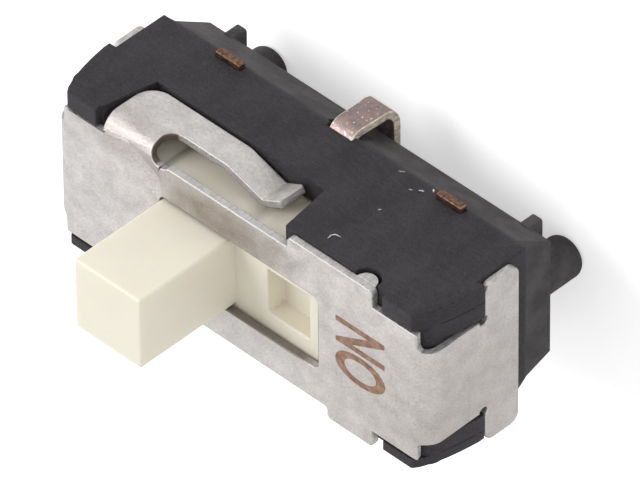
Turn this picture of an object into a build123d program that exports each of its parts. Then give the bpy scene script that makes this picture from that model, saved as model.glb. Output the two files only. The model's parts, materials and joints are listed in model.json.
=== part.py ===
from build123d import *
import os

# Sub-miniature slide switch, one pole and two throws, with hooked leads.
# Millimetres. The board lies at Z = 0, +Z leaves the board towards the knob,
# +X is the way the knob slides, and the origin is the middle of the seat.
# The knob is built at the -X end of its travel, which is its rest position.

os.makedirs("parts", exist_ok=True)

# Whole switch
spring_side = 1.75           # from the middle to the base's side with the spring
plain_side = 1.60            # the same, to its other side
body_height = 3.50           # from the board to the cover's outer face
travel = 2.00                # from one switch position to the other
running_gap = 0.04           # between the slider and what it runs in
stop_gap = 0.03              # left at each end of the travel

# Cover: one stamped and folded sheet
cover_length = 8.50          # over both folded ends
sheet = 0.15
fold_radius = 0.20           # inside every fold
plate_width = 2.72           # the ends of the plate, between the corner blocks
middle_width = 2.95          # the plate beside the window
ear_width = 3.40             # over the ears
ear_outer = 3.02             # from the middle to an ear's far end
ear_inner = 1.98             # from the middle to an ear's near end
long_ear_inner = 1.11        # the same, on the ear beside the spring
plate_corner = 0.10          # rounding of the plate's outline
neck_width = 2.00            # each folded end, above its foot
foot_width = 3.40
foot_height = 0.78
foot_level = 1.37            # lower edge of the feet, above the board
foot_corner = 0.20
relief_radius = 0.09         # notch where a neck meets its foot
window_width = 1.56
window_corner = 0.12
lug_radius = 0.20            # half-round lug behind the long ear's end
lug_thickness = 0.15
lug_inset = 0.26             # from the ear's end to the lug's middle
lug_room = 0.05              # round the lug, in the base

# Detent spring: an arm cut from the same sheet
spring_reach = 1.70          # from the middle to the arm's outer face
spring_left = -3.08          # far end of the spring's root
slot_end = -2.03             # where the slot beside the arm ends
slot_radius = 0.24
slot_dip = 0.09              # how far the slot's end dips into the plate
arm_width = 0.58
arm_depth = 1.15             # cover face to the arm's lower edge
root_corner = 0.42
arm_flat_end = -0.88         # where the arm starts down to its nose
nose_x = 0.00                # where the nose presses on the slider
nose_underside = 1.28        # from the middle to the nose's inner face
tip_x = 0.42
tip_rise = 0.22              # the tip above the nose
nose_radius = 0.16           # inside the arm's two bends, at the middle of the sheet

# Moulded base
parting_height = 1.05        # board to the parting line, under the leads
underside_width = 2.40       # the underside, inside the sloped flanks
plain_flank_inset = 0.12     # ledge above the flank on the plain side
plain_corner_cut = 0.50      # across Y, the cut corners behind the cover's feet
base_inset = 0.23            # how far the lower ends stand in from the upper
standoff_height = 0.23
standoff_length = 0.40
standoff_width = 0.24
standoff_corner = 0.06
cavity_wall = 0.24           # at the ends of the slider's chamber
cavity_width = 2.60
rim_radius = 0.30            # upper ends of the base, inside the cover's folds

# Corner blocks: ramps that the cover's feet snap under
ramp_top_x = 3.88            # outer end of the block at the cover's face
ramp_level = 2.30            # where the ramp is at its furthest out
ramp_undercut = 0.08
ramp_gap = 0.05              # between a ramp and the cover's neck
nose_gap = 0.04              # between a block's nose and the plate
block_nose_drop = 0.40       # how far the narrow nose reaches down
block_nose_inner = 3.24      # from the middle to the block's inner end

# Recess for the spring, in the +Y side
recess_depth = 1.20          # below the cover's face
recess_left = -3.00          # ends of the recess at its floor
recess_right = 0.80
recess_flare = 0.16          # how far the right end leans out at the top

# Locating pegs
peg_radius = 0.39
peg_spacing = 6.70
peg_length = 0.74            # below the board's face
peg_tip = 0.16

# Leads, stamped from one frame and moulded in
lead_pitch = 2.50
lead_width = 0.56
lead_thickness = 0.15
hook_reach = 1.87            # from the middle to a hook's outer face
hook_end = 0.78              # from the middle to the end of a hook's foot
hook_radius = 0.13           # inside the hook's bends
stub_proud = 0.10            # what is left of a trimmed lead
hook_relief = 0.42           # moulding cut back under a hooked lead
hook_relief_gap = 0.09       # room round the lead there
contact_width = 1.50         # across Y, each fixed contact
common_length = 1.00
throw_inner = 1.30           # from the middle to a throw contact's near end
throw_outer = 2.86

# Slider: knob and carriage in one moulding
knob_length = 1.50
knob_width = 1.48
knob_height = 2.00           # above the cover's face
knob_edge = 0.05
carriage_thickness = 1.80
pocket_length = 0.95
pocket_width = 0.94
pocket_depth = 0.40
pocket_x = 1.95              # from the knob's middle
notch_depth = 0.10
notch_half_length = 0.24

# Moving contact: a bridge of spring sheet under the carriage
bridge_sheet = 0.10
bridge_width = 1.00
bridge_slit = 0.16
bridge_flat = 0.90           # the middle, held by two stakes
bridge_point = 1.00          # from the middle to each contact point
bridge_end = 1.30
bridge_tip_rise = 0.16
bridge_bend = 0.12
bridge_seat_depth = 0.25     # recess in the carriage's underside
bridge_room = 0.10           # between the bridge and the ends of its recess
stake_radius = 0.13
stake_spacing = 0.50
stake_head = 0.06            # stake left standing below the bridge
stake_gap = 0.02

# Worked out from the sizes above
cover_face = body_height
cover_under = cover_face - sheet
inside_end = cover_length / 2 - sheet
floor_level = parting_height + lead_thickness
cavity_end = inside_end - cavity_wall
window_length = knob_length + travel + 2 * running_gap
carriage_length = 2 * cavity_end - travel - 2 * stop_gap
carriage_width = 2 * (nose_underside - running_gap)
carriage_top = cover_under - running_gap
carriage_bottom = carriage_top - carriage_thickness
rest_x = -travel / 2
foot_top = foot_level + foot_height
arm_bottom = cover_face - arm_depth
arm_top = arm_bottom + arm_width
recess_floor = cover_face - recess_depth
underside = standoff_height
lower_end = inside_end - base_inset
bridge_seat = carriage_bottom + bridge_seat_depth
bridge_low = floor_level + running_gap
standoff_y = (underside_width - standoff_width) / 2
ramp_bottom = ramp_level - ramp_undercut
lug_x = ear_outer - lug_inset
hook_relief_start = hook_reach - lead_thickness - hook_radius - hook_relief_gap
block_low_top = cover_face - block_nose_drop
ramp_slope = (cover_length / 2 - ramp_top_x) / (cover_face - ramp_level)
block_low_x = ramp_top_x + ramp_slope * block_nose_drop

# Cover's outline: the plate seen from above, and a folded end seen from outside
with BuildPart() as cover_outline:
    with BuildSketch(Plane.XY.offset(cover_face - fold_radius - 2 * sheet)) as plate:
        Rectangle(2 * (inside_end - fold_radius / 2), plate_width)
        Rectangle(cover_length, neck_width)
        Rectangle(2 * ear_inner, middle_width)
        with Locations(*[(side * (ear_inner + ear_outer) / 2, -ear_width / 4) for side in (-1, 1)]):
            Rectangle(ear_outer - ear_inner, ear_width / 2)
        with Locations(((long_ear_inner + ear_outer) / 2, ear_width / 4)):
            Rectangle(ear_outer - long_ear_inner, ear_width / 2)
        ear_corners = plate.vertices().filter_by(lambda corner: abs(corner.Y) > (middle_width + sheet) / 2)
        fillet(ear_corners, plate_corner)
    extrude(amount=fold_radius + 2 * sheet)
    with BuildSketch(Plane.YZ.offset(-cover_length / 2)) as folded_end:
        with Locations((0, (foot_level + foot_top) / 2)):
            Rectangle(foot_width, foot_height)
        fillet(folded_end.vertices(), foot_corner)
        with Locations((0, (foot_top + cover_under) / 2)):
            Rectangle(neck_width, cover_under - foot_top)
        with Locations(*[(side * neck_width / 2, foot_top + relief_radius / 2) for side in (-1, 1)]):
            Circle(relief_radius, mode=Mode.SUBTRACT)
    extrude(amount=cover_length)

with BuildPart() as cover:
    with BuildSketch(Plane.XZ) as channel:
        with BuildLine() as sheet_middle:
            FilletPolyline(
                (-(cover_length - sheet) / 2, foot_level),
                (-(cover_length - sheet) / 2, cover_face - sheet / 2),
                ((cover_length - sheet) / 2, cover_face - sheet / 2),
                ((cover_length - sheet) / 2, foot_level),
                radius=fold_radius + sheet / 2,
            )
        trace(line_width=sheet)
    extrude(amount=ear_width, both=True)
    add(cover_outline.part, mode=Mode.INTERSECT)
    # Window for the knob
    with BuildSketch(Plane.XY.offset(cover_under)):
        RectangleRounded(window_length, window_width, window_corner)
    extrude(amount=sheet, mode=Mode.SUBTRACT)
    # Half-round lug behind the edge of the long ear
    with BuildSketch(Plane.XZ.offset(-ear_width / 2)):
        with Locations((lug_x, cover_under)):
            Circle(lug_radius)
            lug_box = (2 * lug_radius, lug_radius)
            Rectangle(*lug_box, align=(Align.CENTER, Align.MIN), mode=Mode.SUBTRACT)
    extrude(amount=lug_thickness)
    # Root of the detent spring, folded down over the edge of the plate
    with BuildSketch(Plane.YZ.offset(spring_left)):
        with BuildLine() as root_middle:
            FilletPolyline(
                (plate_width / 4, cover_face - sheet / 2),
                (spring_reach - sheet / 2, cover_face - sheet / 2),
                (spring_reach - sheet / 2, arm_bottom),
                radius=fold_radius + sheet / 2,
            )
        trace(line_width=sheet)
    extrude(amount=slot_end + slot_radius - spring_left)
    # Slot that frees the arm from the plate
    with BuildSketch(Plane.XZ.offset(-spring_reach - sheet)):
        with Locations((slot_end, arm_top)):
            RectangleRounded(4 * slot_radius, 4 * slot_radius, slot_radius, align=Align.MIN)
    extrude(amount=spring_reach + sheet - middle_width / 2, mode=Mode.SUBTRACT)
    with BuildSketch(Plane.XY.offset(cover_under)):
        with Locations((slot_end + slot_radius, middle_width / 2 + slot_radius - slot_dip)):
            Circle(slot_radius)
    extrude(amount=sheet, mode=Mode.SUBTRACT)
    # Arm, with the nose that clicks into the slider's notches
    with BuildSketch(Plane.XY.offset(arm_bottom)):
        with BuildLine() as arm_middle:
            FilletPolyline(
                (slot_end, spring_reach - sheet / 2),
                (arm_flat_end, spring_reach - sheet / 2),
                (nose_x, nose_underside + sheet / 2),
                (tip_x, nose_underside + sheet / 2 + tip_rise),
                radius=nose_radius,
            )
        trace(line_width=sheet)
    extrude(amount=arm_width)
    root_edges = cover.edges().filter_by(Axis.Y)
    root_edges = root_edges.filter_by_position(Axis.X, spring_left - sheet, spring_left + sheet)
    fillet(root_edges.sort_by(Axis.Z)[0], root_corner)

# Leads: each fixed contact with its hooked end and its trimmed end
def terminal(lead_x, contact_start, contact_stop, hook_side):
    """One stamped lead, lying in the base's floor, hooked towards hook_side."""
    hook_middle = hook_side * (hook_reach - lead_thickness / 2)
    stub_reach = stub_proud + (plain_side if hook_side > 0 else spring_side)
    with BuildPart() as lead:
        with BuildSketch(Plane.XY.offset(parting_height)):
            with Locations(((contact_start + contact_stop) / 2, 0)):
                Rectangle(contact_stop - contact_start, contact_width)
            with Locations((lead_x, -hook_side * stub_reach / 2)):
                Rectangle(lead_width, stub_reach)
        extrude(amount=lead_thickness)
        with BuildSketch(Plane.YZ.offset(lead_x - lead_width / 2)):
            with BuildLine() as hook_path:
                FilletPolyline(
                    (0, parting_height + lead_thickness / 2),
                    (hook_middle, parting_height + lead_thickness / 2),
                    (hook_middle, lead_thickness / 2),
                    (hook_side * hook_end, lead_thickness / 2),
                    radius=hook_radius + lead_thickness / 2,
                )
            trace(line_width=lead_thickness)
        extrude(amount=lead_width)
    return lead.part


terminals = {
    "common_terminal": terminal(0, -common_length / 2, common_length / 2, 1),
    "left_terminal": terminal(-lead_pitch, -throw_outer, -throw_inner, -1),
    "right_terminal": terminal(lead_pitch, throw_inner, throw_outer, -1),
}

# Moulded base, with its corner blocks, standoffs and pegs
with BuildPart() as housing:
    with BuildSketch(Plane.XZ.offset(-spring_side)) as upper_section:
        with Locations((0, (parting_height + cover_under) / 2)):
            Rectangle(2 * inside_end, cover_under - parting_height)
        fillet(upper_section.vertices().group_by(Axis.Y)[-1], rim_radius)
    extrude(amount=spring_side + plain_side)
    with BuildSketch(Plane.YZ.offset(-lower_end)):
        with BuildLine():
            Polyline(
                (plain_flank_inset - plain_side, parting_height),
                (spring_side, parting_height),
                (underside_width / 2, underside),
                (-underside_width / 2, underside),
                close=True,
            )
        make_face()
    extrude(amount=2 * lower_end)
    # Corner blocks: a nose level with the cover, and a ramp with an undercut
    for side, reach in ((1, spring_side), (-1, plain_side)):
        with BuildSketch(Plane.XZ.offset(-side * reach)):
            with BuildLine():
                Polyline(
                    (block_nose_inner, cover_face),
                    (ramp_top_x, cover_face),
                    (block_low_x, block_low_top),
                    (block_nose_inner, block_low_top),
                    close=True,
                )
            make_face()
            mirror(about=Plane.YZ)
        extrude(amount=side * (reach - plate_width / 2 - nose_gap))
        with BuildSketch(Plane.XZ.offset(-side * reach)):
            with BuildLine():
                Polyline(
                    (block_nose_inner, block_low_top),
                    (block_low_x, block_low_top),
                    (cover_length / 2, ramp_level),
                    (inside_end, ramp_bottom),
                    (block_nose_inner, ramp_bottom),
                    close=True,
                )
            make_face()
            mirror(about=Plane.YZ)
        extrude(amount=side * (reach - neck_width / 2 - ramp_gap))
    # Corners cut back on the plain side, below the ramps
    with BuildSketch(Plane.XY.offset(parting_height)):
        with BuildLine():
            Polyline(
                (inside_end, -plain_side),
                (inside_end, plain_corner_cut - plain_side),
                (lower_end, -plain_side),
                close=True,
            )
        make_face()
        mirror(about=Plane.YZ)
    extrude(amount=ramp_bottom - parting_height, mode=Mode.SUBTRACT)
    # Room for the cover's lug
    with BuildSketch(Plane.XZ.offset(-spring_side)):
        with Locations((lug_x, cover_under)):
            Circle(lug_radius + lug_room)
    extrude(amount=spring_side - ear_width / 2 + lug_thickness + lug_room, mode=Mode.SUBTRACT)
    # Chamber for the slider
    with BuildSketch(Plane.XY.offset(floor_level)):
        Rectangle(2 * cavity_end, cavity_width)
    extrude(amount=cover_face - floor_level, mode=Mode.SUBTRACT)
    # Recess for the spring arm
    with BuildSketch(Plane.XZ.offset(-spring_side)):
        with BuildLine():
            Polyline(
                (-block_nose_inner, cover_face),
                (recess_left, recess_floor),
                (recess_right, recess_floor),
                (recess_right + recess_flare, cover_face),
                close=True,
            )
        make_face()
    extrude(amount=spring_side - cavity_width / 2, mode=Mode.SUBTRACT)
    # Room under each hooked lead's first bend
    for lead_x, hook_side in ((0, 1), (-lead_pitch, -1), (lead_pitch, -1)):
        with BuildSketch(Plane.XY.offset(parting_height - hook_relief)):
            with Locations((lead_x, hook_side * (hook_relief_start + hook_reach) / 2)):
                Rectangle(lead_width + 2 * hook_relief_gap, hook_reach - hook_relief_start)
        extrude(amount=hook_relief, mode=Mode.SUBTRACT)
    # Standoffs and pegs, towards the board
    with BuildSketch(Plane.XY):
        with GridLocations(peg_spacing, 2 * standoff_y, 2, 2):
            RectangleRounded(standoff_length, standoff_width, standoff_corner)
    extrude(amount=underside)
    with BuildSketch(Plane.XY.offset(underside)):
        with GridLocations(peg_spacing, 0, 2, 1):
            Circle(peg_radius)
    extrude(amount=-underside - peg_length)
    peg_ends = housing.faces().group_by(Axis.Z)[0]
    fillet(peg_ends.edges(), peg_tip)
    for lead in terminals.values():
        add(lead, mode=Mode.SUBTRACT)

# Slider: knob and carriage
with BuildPart() as slider:
    with BuildSketch(Plane.XY.offset(carriage_top)):
        with Locations((rest_x, 0)):
            Rectangle(knob_length, knob_width)
    extrude(amount=cover_face + knob_height - carriage_top)
    knob_edges = slider.edges().filter_by(Axis.Z) + slider.faces().sort_by(Axis.Z)[-1].edges()
    fillet(knob_edges, knob_edge)
    with BuildSketch(Plane.XY.offset(carriage_bottom)):
        with Locations((rest_x, 0)):
            Rectangle(carriage_length, carriage_width)
    extrude(amount=carriage_thickness)
    # Pockets beside the knob, which keep the walls even
    with BuildSketch(Plane.XY.offset(carriage_top)):
        with Locations(*[(rest_x + side * pocket_x, 0) for side in (-1, 1)]):
            Rectangle(pocket_length, pocket_width)
    extrude(amount=-pocket_depth, mode=Mode.SUBTRACT)
    # Detent notches in the side that the spring presses on
    with BuildSketch(Plane.XY.offset(carriage_bottom)):
        for side in (-1, 1):
            with BuildLine():
                Polyline(
                    (rest_x + side * travel / 2 - notch_half_length, carriage_width / 2),
                    (rest_x + side * travel / 2, carriage_width / 2 - notch_depth),
                    (rest_x + side * travel / 2 + notch_half_length, carriage_width / 2),
                    close=True,
                )
            make_face()
    extrude(amount=carriage_thickness, mode=Mode.SUBTRACT)
    # Seat and stakes for the moving contact
    with BuildSketch(Plane.XY.offset(carriage_bottom)):
        with Locations((rest_x, 0)):
            Rectangle(2 * (bridge_end + bridge_room), bridge_width + 2 * bridge_room)
    extrude(amount=bridge_seat_depth, mode=Mode.SUBTRACT)
    with BuildSketch(Plane.XY.offset(bridge_seat)):
        with Locations(*[(rest_x + side * stake_spacing / 2, 0) for side in (-1, 1)]):
            Circle(stake_radius)
    extrude(amount=-bridge_sheet - stake_head)

# Moving contact
with BuildPart() as moving_contact:
    with BuildSketch(Plane.XZ):
        with BuildLine() as bridge_middle:
            FilletPolyline(
                (rest_x - bridge_end, bridge_low + bridge_sheet / 2 + bridge_tip_rise),
                (rest_x - bridge_point, bridge_low + bridge_sheet / 2),
                (rest_x - bridge_flat / 2, bridge_seat - bridge_sheet / 2),
                (rest_x + bridge_flat / 2, bridge_seat - bridge_sheet / 2),
                (rest_x + bridge_point, bridge_low + bridge_sheet / 2),
                (rest_x + bridge_end, bridge_low + bridge_sheet / 2 + bridge_tip_rise),
                radius=bridge_bend,
            )
        trace(line_width=bridge_sheet)
    extrude(amount=bridge_width / 2, both=True)
    # Slits that split each arm into two fingers
    with BuildSketch(Plane.XY.offset(floor_level)):
        with Locations(*[(rest_x + side * (bridge_flat / 2 + bridge_end) / 2, 0) for side in (-1, 1)]):
            Rectangle(bridge_end - bridge_flat / 2, bridge_slit)
        with Locations(*[(rest_x + side * stake_spacing / 2, 0) for side in (-1, 1)]):
            Circle(stake_radius + stake_gap)
    extrude(amount=bridge_seat - floor_level, mode=Mode.SUBTRACT)

pieces = {
    "housing": housing.part,
    "cover": cover.part,
    "slider": slider.part,
    "moving_contact": moving_contact.part,
    **terminals,
}
for name, piece in pieces.items():
    piece.label = name
    export_step(piece, f"parts/{name}.step")
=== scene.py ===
"""Finish of a sub-miniature slide switch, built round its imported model.

Sizes are in millimetres in the frame of the model: the board is at Z = 0, +Z
leaves it towards the knob, and +X is the way the knob slides. Every mesh is
made in millimetres and brought to metres as the last step.
"""
import json
import logging
import math
from dataclasses import dataclass, field
from enum import Enum
from typing import Callable, Sequence

import bmesh
import bpy
from mathutils import Matrix, Vector
from mathutils.geometry import delaunay_2d_cdt

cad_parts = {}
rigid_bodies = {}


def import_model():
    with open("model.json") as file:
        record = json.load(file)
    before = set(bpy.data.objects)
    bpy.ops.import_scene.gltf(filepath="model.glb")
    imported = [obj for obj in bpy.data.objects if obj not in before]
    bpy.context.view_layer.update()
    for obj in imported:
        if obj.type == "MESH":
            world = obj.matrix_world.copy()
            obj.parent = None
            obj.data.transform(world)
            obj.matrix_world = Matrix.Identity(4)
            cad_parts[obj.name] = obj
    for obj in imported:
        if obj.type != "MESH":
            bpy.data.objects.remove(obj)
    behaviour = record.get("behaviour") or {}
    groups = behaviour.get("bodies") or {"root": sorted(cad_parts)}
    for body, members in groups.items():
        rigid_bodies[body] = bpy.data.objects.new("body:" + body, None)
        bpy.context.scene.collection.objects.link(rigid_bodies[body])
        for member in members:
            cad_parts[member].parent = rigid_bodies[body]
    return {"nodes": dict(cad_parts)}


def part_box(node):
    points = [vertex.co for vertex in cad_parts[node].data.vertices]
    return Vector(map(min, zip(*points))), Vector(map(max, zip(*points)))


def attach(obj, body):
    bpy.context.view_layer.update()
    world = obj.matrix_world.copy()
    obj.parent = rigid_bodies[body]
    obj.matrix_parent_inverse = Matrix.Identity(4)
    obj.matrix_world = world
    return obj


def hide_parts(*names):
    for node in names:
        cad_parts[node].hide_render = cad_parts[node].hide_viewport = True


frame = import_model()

LOG = logging.getLogger("slide_switch")
MM = 0.001                    # one millimetre, in the metres of the frame
ARC_STEP = math.radians(9)    # largest turn between two points of a round outline
SIDE_SHARE = 0.49             # largest share of a side that one rounding takes
SHARPEST = 0.35               # keeps the mitre short at a sharp corner
ENDLESS = 99.0                # past both ends of any fold
ON_FOLD = 1e-4                # a point this near to a fold lies on it
FOLD_MARGIN = 0.02            # share of a side, at each end, where a fold adds no point
MERGE = 1e-5                  # points nearer than this are one
WHITE = (1, 1, 1, 1)

Point = tuple[float, float]
Spot = tuple[float, float, float]
Corner = tuple[float, float, float]
Colour = tuple[float, float, float]
Range = tuple[float, float]
Loop = list[Point]
Place = Callable[[float, float, float], Spot]
Finish = bpy.types.Material
Socket = bpy.types.NodeSocket


class Cut(Enum):
    """How a tool changes a solid."""

    ADD = "UNION"
    REMOVE = "DIFFERENCE"


class Axis(Enum):
    """An axis of an outline, or of space."""

    X = 0
    Y = 1
    Z = 2


# Outlines and paths


def arc(centre: Point, radius: float, start: float, stop: float, step: float = ARC_STEP) -> Loop:
    """Points along an arc.

    Args:
        centre: Middle of the arc.
        radius: Its radius.
        start: First angle in degrees.
        stop: Last angle in degrees.
        step: Largest turn between two points, in radians.

    Returns:
        The points, both ends included.
    """
    first, last = math.radians(start), math.radians(stop)
    count = max(2, math.ceil(abs(last - first) / step))
    angles = (first + (last - first) * i / count for i in range(count + 1))
    return [(centre[0] + radius * math.cos(a), centre[1] + radius * math.sin(a)) for a in angles]


def rounded(corners: Sequence[Corner]) -> Loop:
    """Rounds the corners of a closed outline.

    Args:
        corners: Each corner's two coordinates and its radius, 0 for a sharp one.

    Returns:
        The outline's points, in the same direction.
    """
    loop: Loop = []
    for i, (x, y, radius) in enumerate(corners):
        here = Vector((x, y))
        back = Vector(corners[i - 1][:2]) - here
        on = Vector(corners[(i + 1) % len(corners)][:2]) - here
        if radius <= 0:
            loop.append((x, y))
            continue
        half = back.angle(on) / 2
        longest = SIDE_SHARE * min(back.length, on.length)
        reach = min(radius / math.tan(half), longest)
        radius = reach * math.tan(half)
        middle = here + (back.normalized() + on.normalized()).normalized() * radius / math.sin(half)
        start = here + back.normalized() * reach - middle
        stop = here + on.normalized() * reach - middle
        turn = start.angle_signed(stop)
        count = max(2, math.ceil(abs(turn) / ARC_STEP))
        first = math.atan2(start.y, start.x)
        for k in range(count + 1):
            angle = first - turn * k / count
            loop.append((middle.x + radius * math.cos(angle), middle.y + radius * math.sin(angle)))
    return loop


def rounded_run(corners: Sequence[Corner]) -> Loop:
    """Rounds the corners of an open stretch of outline, whose ends stay sharp."""
    first, last = corners[0], corners[-1]
    return rounded([(*first[:2], 0.0), *corners[1:-1], (*last[:2], 0.0)])


def inside(point: Point, loops: Sequence[Loop]) -> bool:
    """Says whether a point is inside the material that the loops bound.

    Args:
        point: The point.
        loops: The outline and its holes.

    Returns:
        True where it is inside.
    """
    odd = False
    for loop in loops:
        for (x0, y0), (x1, y1) in zip(loop, loop[1:] + loop[:1]):
            if (y0 > point[1]) != (y1 > point[1]):
                if point[0] < x0 + (point[1] - y0) * (x1 - x0) / (y1 - y0):
                    odd = not odd
    return odd


def inset(loop: Loop, distance: float) -> Loop:
    """Moves a loop into the material, which lies on its left.

    Args:
        loop: The outline's points.
        distance: How far it moves.

    Returns:
        As many points, moved.
    """
    moved: Loop = []
    for i, (x, y) in enumerate(loop):
        back = (Vector((x, y)) - Vector(loop[i - 1])).normalized()
        on = (Vector(loop[(i + 1) % len(loop)]) - Vector((x, y))).normalized()
        n0, n1 = Vector((-back.y, back.x)), Vector((-on.y, on.x))
        mitre = (n0 + n1) / max(SHARPEST, 1 + n0.dot(n1))
        moved.append((x + mitre.x * distance, y + mitre.y * distance))
    return moved


@dataclass(frozen=True)
class Span:
    """A straight or round stretch of a path, from one length along it to another."""

    start: float
    stop: float
    origin: Point
    heading: float
    turn: float

    def at(self, length: float, offset: float) -> Point:
        """Finds a point of the span.

        Args:
            length: How far along the whole path it is.
            offset: How far it stands to the left.

        Returns:
            The point.
        """
        run, x, y = length - self.start, *self.origin
        if self.turn == 0:
            x += run * math.cos(self.heading)
            y += run * math.sin(self.heading)
            facing = self.heading
        else:
            radius = (self.stop - self.start) / self.turn
            facing = self.heading + run / radius
            x += radius * (math.sin(facing) - math.sin(self.heading))
            y -= radius * (math.cos(facing) - math.cos(self.heading))
        return x - offset * math.sin(facing), y + offset * math.cos(facing)


class Path:
    """Straight runs joined by bends of one radius: the middle of a folded sheet."""

    def __init__(self, points: Sequence[Point], *radii: float) -> None:
        """Works out the spans.

        Args:
            points: The path's corners.
            radii: Radius of each bend at the middle of the sheet; the last serves the rest.
        """
        self.spans: list[Span] = []
        length, here = 0.0, Vector(points[0])
        for i in range(1, len(points)):
            run = Vector(points[i]) - Vector(points[i - 1])
            heading = math.atan2(run.y, run.x)
            turn = 0.0
            radius = radii[min(i, len(radii)) - 1]
            if i + 1 < len(points):
                onward = Vector(points[i + 1]) - Vector(points[i])
                turn = math.remainder(math.atan2(onward.y, onward.x) - heading, math.tau)
            end = Vector(points[i]) - run.normalized() * radius * math.tan(abs(turn) / 2)
            straight = (end - here).length
            self.spans.append(Span(length, length + straight, tuple(here), heading, 0.0))
            length += straight
            if turn:
                bend = abs(turn) * radius
                self.spans.append(Span(length, length + bend, tuple(end), heading, turn))
                here = Vector(self.spans[-1].at(length + bend, 0))
                length += bend
        self.length = length

    def at(self, length: float, offset: float = 0.0) -> Point:
        """Finds a point of the path, whose ends run on straight.

        Args:
            length: How far along the path it is.
            offset: How far it stands to the left.

        Returns:
            The point.
        """
        for span in self.spans:
            if length <= span.stop:
                return span.at(length, offset)
        return self.spans[-1].at(length, offset)

    def folds(self) -> list[float]:
        """Finds where the sheet needs an edge across it to bend smoothly.

        Returns:
            Lengths along the path.
        """
        places: list[float] = []
        for span in self.spans:
            if span.turn:
                count = max(2, math.ceil(abs(span.turn) / ARC_STEP))
                reach = span.stop - span.start
                places += [span.start + reach * i / count for i in range(count + 1)]
        return places


# Meshes


@dataclass(frozen=True)
class Fold:
    """A line across a flat blank along which it bends."""

    across: Axis
    value: float
    low: float = -ENDLESS
    high: float = ENDLESS


@dataclass
class Blank:
    """A stamped blank: outlines in the flat, and the place of each point once it is formed."""

    loops: list[Loop]
    sheet: float
    place: Place
    folds: list[Fold] = field(default_factory=list)
    edge: float = 0.02
    edge_steps: int = 3

    def _split(self) -> None:
        """Adds a point to each loop wherever a fold crosses it."""
        for fold in self.folds:
            a, b = fold.across.value, 1 - fold.across.value
            for n, loop in enumerate(self.loops):
                out: Loop = []
                for p, q in zip(loop, loop[1:] + loop[:1]):
                    out.append(p)
                    if (p[a] - fold.value) * (q[a] - fold.value) < 0:
                        share = (fold.value - p[a]) / (q[a] - p[a])
                        other = p[b] + share * (q[b] - p[b])
                        clear = FOLD_MARGIN < share < 1 - FOLD_MARGIN
                        if clear and fold.low <= other <= fold.high:
                            out.append((fold.value, other) if a == 0 else (other, fold.value))
                self.loops[n] = out

    def _creases(self, loops: Sequence[Loop], points: list[Point]) -> list[tuple[int, int]]:
        """Edges along the folds.

        Args:
            loops: The inset loops.
            points: Every point so far; ends of folds inside the sheet are added.

        Returns:
            Pairs of indices into points.
        """
        near = 1.5 * self.edge
        pairs: list[tuple[int, int]] = []
        border = len(points)
        for fold in self.folds:
            a, b = fold.across.value, 1 - fold.across.value
            on = [i for i in range(border) if abs(points[i][a] - fold.value) < ON_FOLD]
            on = [i for i in on if fold.low - near <= points[i][b] <= fold.high + near]
            for end in (fold.low, fold.high):
                p = (fold.value, end) if a == 0 else (end, fold.value)
                if abs(end) < ENDLESS and inside(p, loops):
                    on.append(len(points))
                    points.append(p)
            on.sort(key=lambda i: points[i][b])
            for i, j in zip(on, on[1:]):
                middle = ((points[i][0] + points[j][0]) / 2, (points[i][1] + points[j][1]) / 2)
                if inside(middle, loops):
                    pairs.append((i, j))
        return pairs

    def mesh(self) -> bmesh.types.BMesh:
        """Makes the formed sheet.

        Returns:
            A closed mesh whose cut edges have material index 1.
        """
        self._split()
        steps = [math.pi / 2 * i / self.edge_steps for i in range(self.edge_steps + 1)]
        levels = [(self.edge * (1 - math.sin(s)), self.edge * (1 - math.cos(s))) for s in steps]
        levels += [(gap, self.sheet - depth) for gap, depth in reversed(levels)]
        rims = [inset(loop, self.edge) for loop in self.loops]
        points = [p for rim in rims for p in rim]
        ends = [sum(len(r) for r in rims[:n]) for n in range(len(rims) + 1)]
        edges = [
            (ends[n] + i, ends[n] + (i + 1) % len(rim))
            for n, rim in enumerate(rims)
            for i in range(len(rim))
        ]
        edges += self._creases(rims, points)
        flat = delaunay_2d_cdt([Vector(p) for p in points], edges, [], 0, 1e-6)
        spots, faces, sources = flat[0], flat[2], flat[3]
        middles = [tuple(sum((spots[i] for i in face), Vector((0, 0))) / 3) for face in faces]
        kept = [face for face, middle in zip(faces, middles) if inside(middle, rims)]
        found = {source: out for out, group in enumerate(sources) for source in group}
        bm = bmesh.new()
        outer = [bm.verts.new(self.place(p.x, p.y, 0)) for p in spots]
        inner = [bm.verts.new(self.place(p.x, p.y, self.sheet)) for p in spots]
        for face in kept:
            bm.faces.new([outer[i] for i in face])
            bm.faces.new([inner[i] for i in reversed(face)])
        for n, loop in enumerate(self.loops):
            rows = [[outer[found[ends[n] + i]] for i in range(len(loop))]]
            for gap, depth in levels[1:-1]:
                rows.append([bm.verts.new(self.place(u, v, depth)) for u, v in inset(loop, gap)])
            rows.append([inner[found[ends[n] + i]] for i in range(len(loop))])
            for upper, lower in zip(rows, rows[1:]):
                for i in range(len(loop)):
                    j = (i + 1) % len(loop)
                    if len({upper[i], upper[j], lower[j], lower[i]}) == 4:
                        bm.faces.new((upper[j], upper[i], lower[i], lower[j])).material_index = 1
        loose = [v for v in bm.verts if not v.link_faces]
        bmesh.ops.delete(bm, geom=loose, context="VERTS")
        bmesh.ops.recalc_face_normals(bm, faces=bm.faces)
        return bm


def block(low: Sequence[float], high: Sequence[float]) -> bmesh.types.BMesh:
    """Makes a box.

    Args:
        low: Its lowest corner.
        high: Its highest corner.

    Returns:
        A closed mesh.
    """
    bm = bmesh.new()
    size = Vector(high) - Vector(low)
    place = Matrix.Translation((Vector(high) + Vector(low)) / 2) @ Matrix.Diagonal((*size, 1))
    bmesh.ops.create_cube(bm, size=1, matrix=place)
    return bm


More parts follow.
